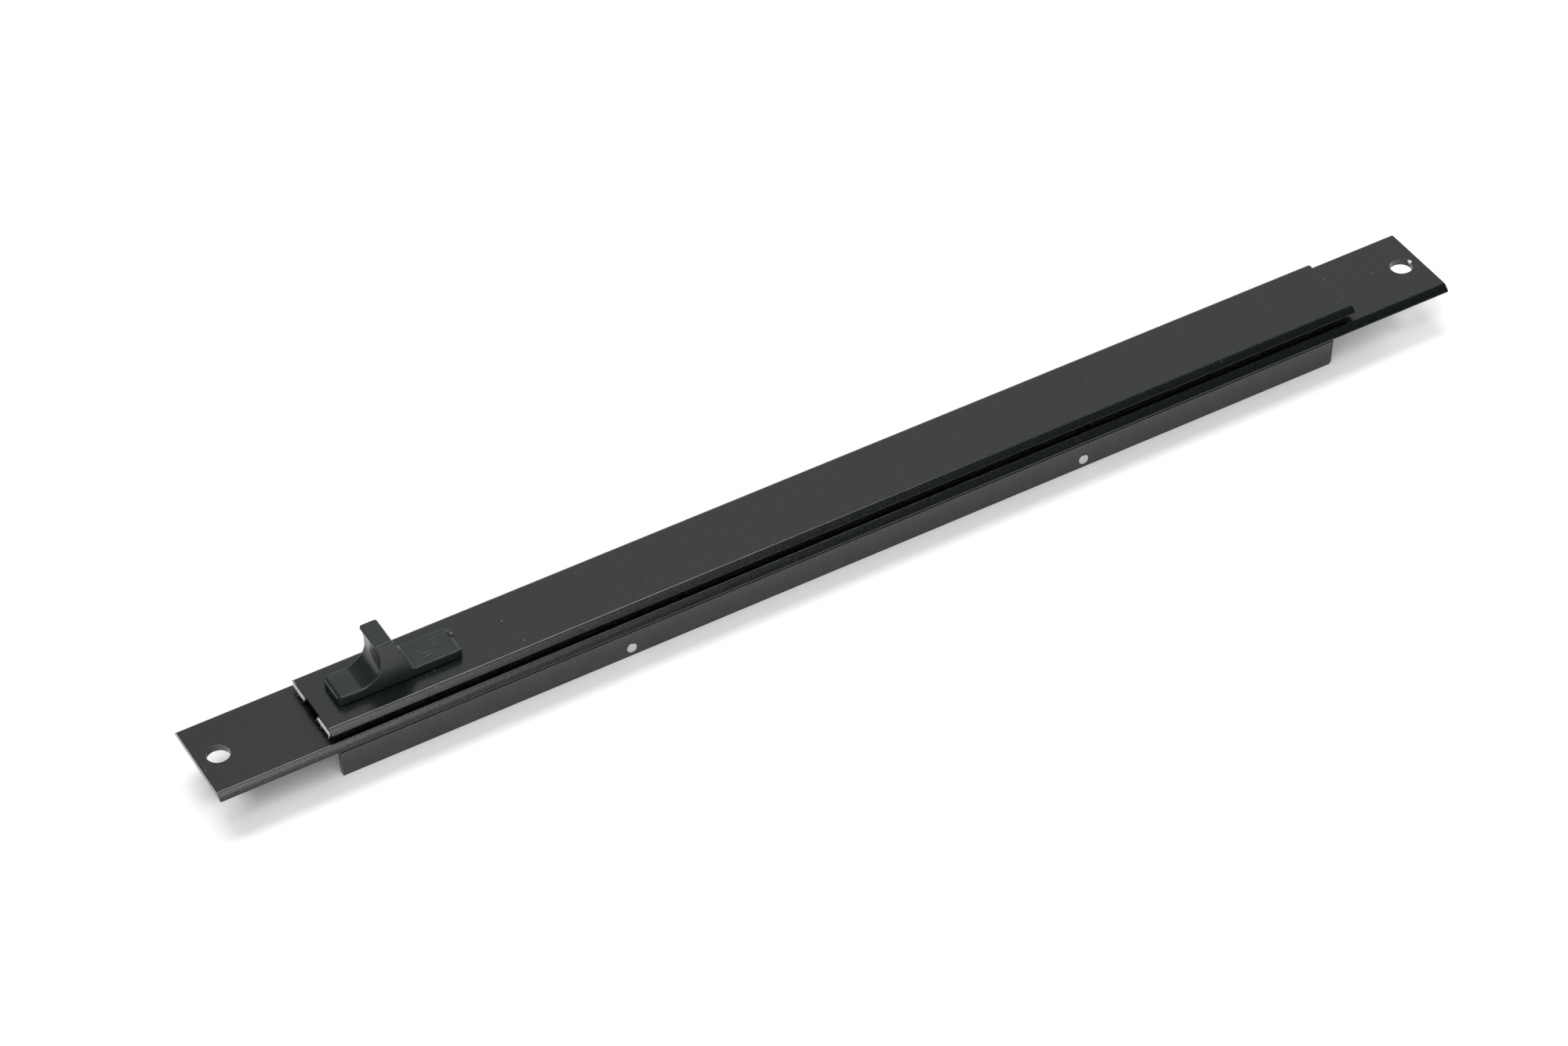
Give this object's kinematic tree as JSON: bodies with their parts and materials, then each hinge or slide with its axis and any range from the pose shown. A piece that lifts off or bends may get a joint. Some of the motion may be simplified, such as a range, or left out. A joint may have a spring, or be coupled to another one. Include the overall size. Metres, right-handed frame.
{
  "type": "slot trickle ventilator with lifting flap",
  "caption": "Long slim window slot vent: bevelled base plate with a slotted spigot, and a flap with pile seals that lifts parallel on swing links when its finger hook is pulled.",
  "frame": {"origin": "midway between the two screw holes, on the underside of the base plate", "axes": "+X along the length away from the finger hook, +Y across to the rear edge, +Z out of the window frame"},
  "size_m": [0.38, 0.029, 0.0342],
  "materials": {
    "black_powder_coat": "fine-texture satin black powder coat on extruded aluminium",
    "black_hook_plastic": "satin moulded black plastic with a faint parting line",
    "black_nylon": "matt black nylon",
    "natural_nylon": "natural white nylon",
    "pin_aluminium": "plain drawn rod, cut ends",
    "spring_steel": "plain spring steel",
    "white_tape": "woven polypropylene tape",
    "white_pile": "siliconised polypropylene pile, frayed where it is cut"
  },
  "bodies": {
    "base": {"base_extrusion": "black_powder_coat", "pivot_pin_a": "pin_aluminium", "pivot_pin_b": "pin_aluminium", "spacer_a_front": "natural_nylon", "spacer_a_rear": "natural_nylon", "spacer_b_front": "natural_nylon", "spacer_b_rear": "natural_nylon", "friction_washer_a": "spring_steel", "friction_washer_b": "spring_steel"},
    "left_link": {"link_a": "black_nylon"},
    "right_link": {"link_b": "black_nylon"},
    "flap": {"flap_extrusion": "black_powder_coat", "flap_bracket_a": "black_nylon", "flap_bracket_b": "black_nylon", "flap_pin_a": "pin_aluminium", "flap_pin_b": "pin_aluminium", "front_seal_backing": "white_tape", "front_seal_pile": "white_pile", "rear_seal_backing": "white_tape", "rear_seal_pile": "white_pile", "hook": "black_hook_plastic", "hook_clip": "spring_steel"}
  },
  "joints": [
    {"name": "left_link_swing", "type": "hinge", "parent": "base", "child": "left_link", "pos_m": [-0.0697, 0, -0.0103], "axis": [0, 1, 0], "range_deg": [0, 54]},
    {"name": "flap_stays_level", "type": "hinge", "parent": "left_link", "child": "flap", "pos_m": [-0.08232, 0, -0.0013], "axis": [0, 1, 0], "range_deg": [-54, 0]},
    {"name": "right_link_swing", "type": "hinge", "parent": "base", "child": "right_link", "pos_m": [0.0715, 0, -0.0103], "axis": [0, 1, 0], "range_deg": [0, 54]}
  ],
  "couplings": [
    {"joint": "flap_stays_level", "follows": "left_link_swing", "ratio": -1},
    {"joint": "right_link_swing", "follows": "left_link_swing", "ratio": 1}
  ]
}
